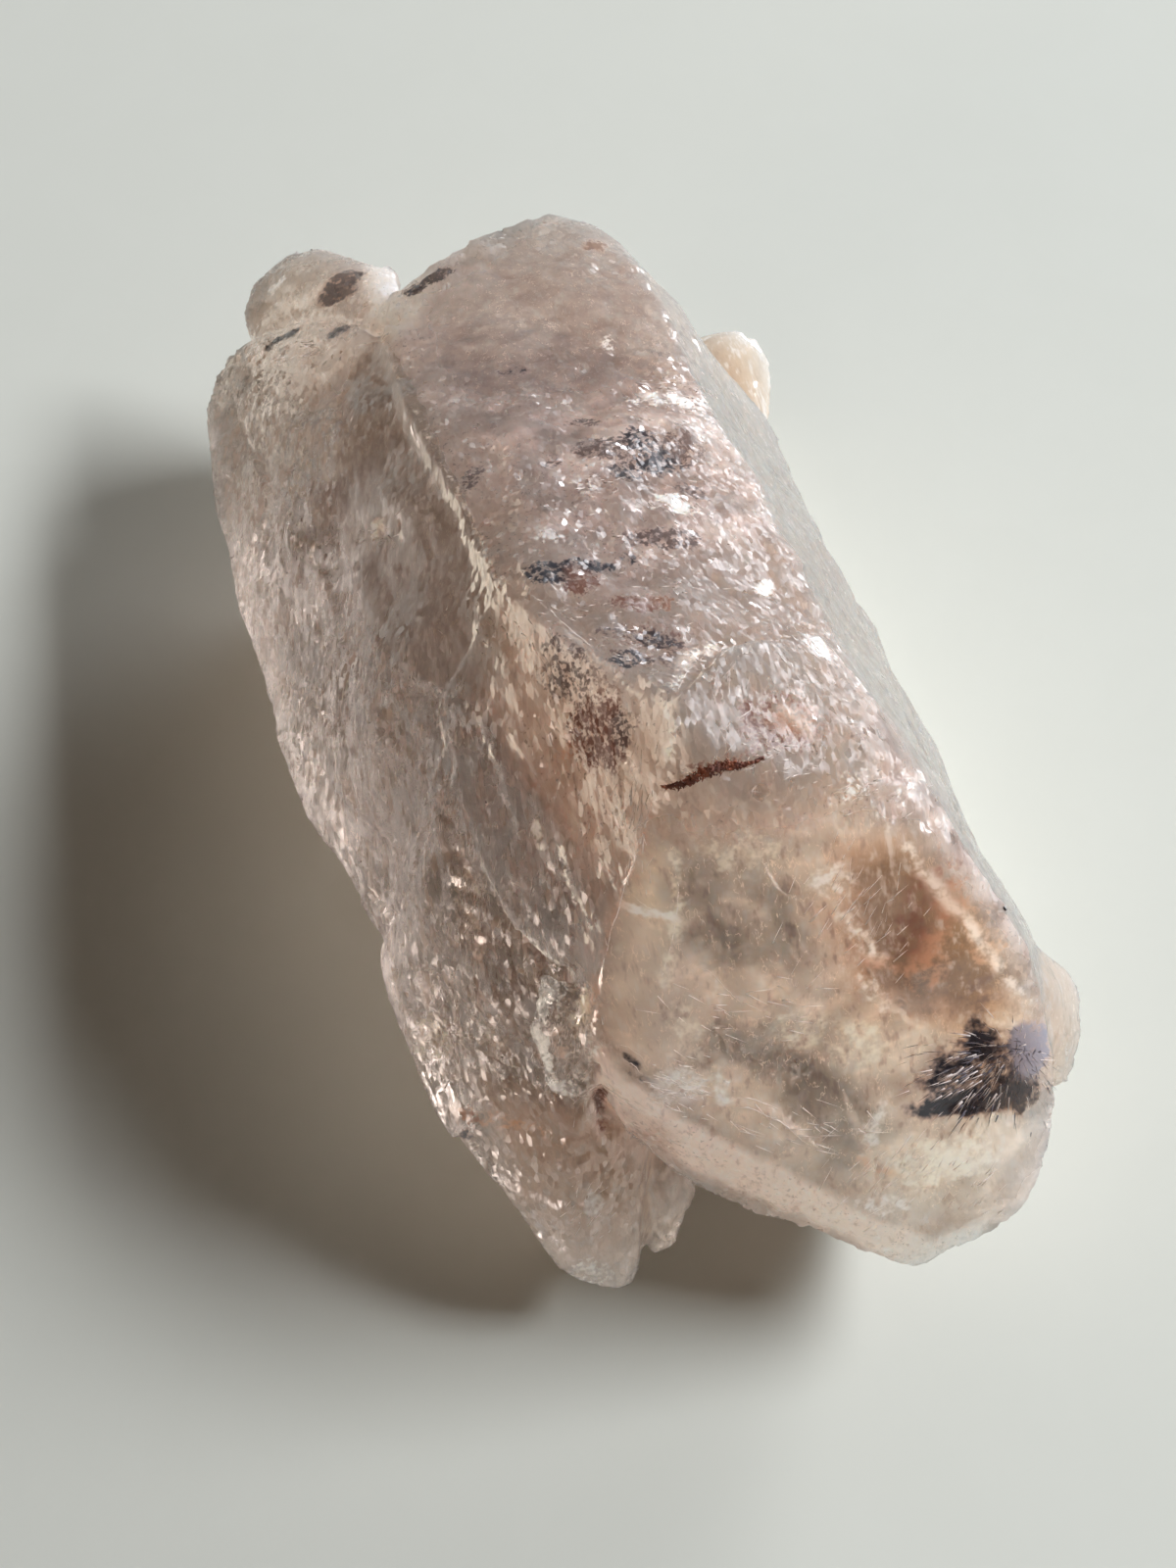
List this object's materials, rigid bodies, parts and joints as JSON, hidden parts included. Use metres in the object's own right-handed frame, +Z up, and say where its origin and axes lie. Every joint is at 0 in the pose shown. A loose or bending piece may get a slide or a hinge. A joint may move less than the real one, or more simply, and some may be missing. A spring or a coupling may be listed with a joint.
{
  "type": "quartz crystal specimen",
  "caption": "Loose piece of intergrown quartz crystals: a six-sided prism with a clear sloping end face, and a smaller pointed crystal grown along its side.",
  "frame": {"origin": "middle of the stone's plan, on the flat broken face that it rests on", "axes": "+X along the crystals towards the clear sloping end face, +Y towards the long clean side face, +Z up"},
  "size_m": [0.0598, 0.0344, 0.0267],
  "materials": {
    "quartz": "etched, cloudy pinkish-grey quartz, clearer on the end face, with dark and rust-coloured inclusions"
  },
  "bodies": {
    "root": {"quartz_crystals": "quartz"}
  },
  "joints": []
}
